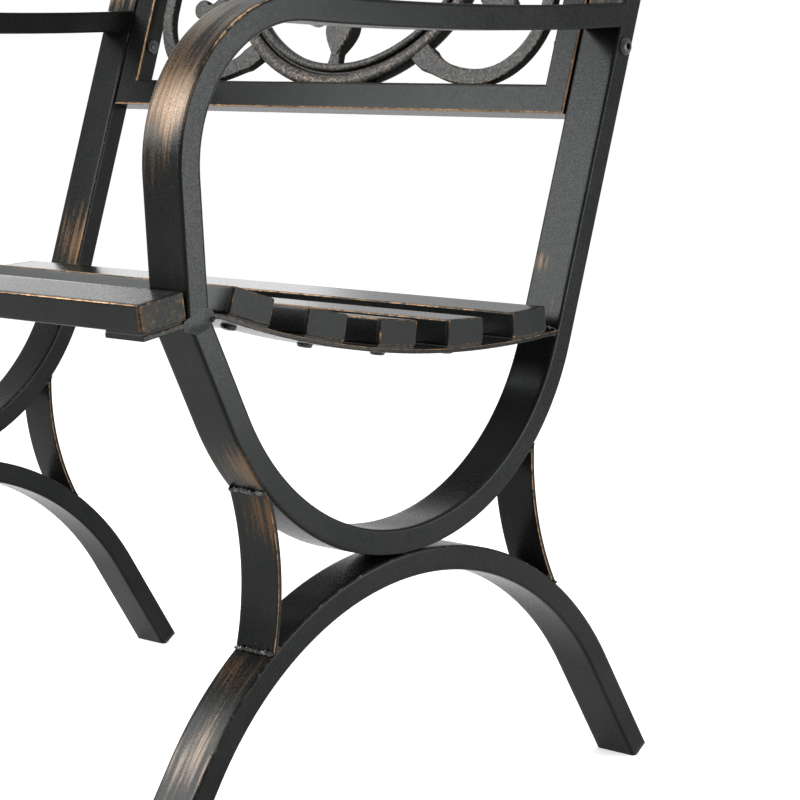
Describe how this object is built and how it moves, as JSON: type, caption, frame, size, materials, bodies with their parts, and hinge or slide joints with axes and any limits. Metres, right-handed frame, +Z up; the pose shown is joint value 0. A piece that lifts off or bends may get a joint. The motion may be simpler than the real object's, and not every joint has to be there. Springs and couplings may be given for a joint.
{
  "type": "garden armchair",
  "caption": "Garden armchair with bent steel tube side frames on arched legs, a dished slatted seat and a reclined back that holds a cast scroll panel with an oval centre",
  "frame": {"origin": "on the floor under the middle of the chair's overall box", "axes": "+Z up, front faces -Y, +X to the right seen from the front"},
  "size_m": [0.659, 0.644, 0.8917],
  "materials": {
    "brushed_bronze_paint": "satin black paint brushed back to bronze along edges and bends",
    "cast_bronze_paint": "grainy sand-cast surface, black paint with bronze dry-brush on the high parts",
    "black_plastic": "fine matte moulded plastic",
    "black_steel": "black zinc-plated fasteners, semi-gloss"
  },
  "bodies": {
    "root": {"left_post_tube": "brushed_bronze_paint", "left_arm_tube": "brushed_bronze_paint", "left_leg_arch": "brushed_bronze_paint", "left_front_brace": "brushed_bronze_paint", "left_rear_brace": "brushed_bronze_paint", "left_seat_bar": "brushed_bronze_paint", "left_slat_caps": "brushed_bronze_paint", "right_post_tube": "brushed_bronze_paint", "right_arm_tube": "brushed_bronze_paint", "right_leg_arch": "brushed_bronze_paint", "right_front_brace": "brushed_bronze_paint", "right_rear_brace": "brushed_bronze_paint", "right_seat_bar": "brushed_bronze_paint", "right_slat_caps": "brushed_bronze_paint", "slat_1": "brushed_bronze_paint", "slat_2": "brushed_bronze_paint", "slat_3": "brushed_bronze_paint", "slat_4": "brushed_bronze_paint", "slat_5": "brushed_bronze_paint", "slat_6": "brushed_bronze_paint", "back_left_stile": "brushed_bronze_paint", "back_right_stile": "brushed_bronze_paint", "back_lower_rail": "brushed_bronze_paint", "back_upper_rail": "brushed_bronze_paint", "cast_panel": "cast_bronze_paint", "left_front_foot": "black_plastic", "left_rear_foot": "black_plastic", "left_post_cap": "black_plastic", "right_front_foot": "black_plastic", "right_rear_foot": "black_plastic", "right_post_cap": "black_plastic", "seat_spacers": "black_plastic", "seat_bolts": "black_steel", "seat_insert_nuts": "black_steel", "back_bolts": "black_steel", "back_nuts": "black_steel"}
  },
  "joints": []
}
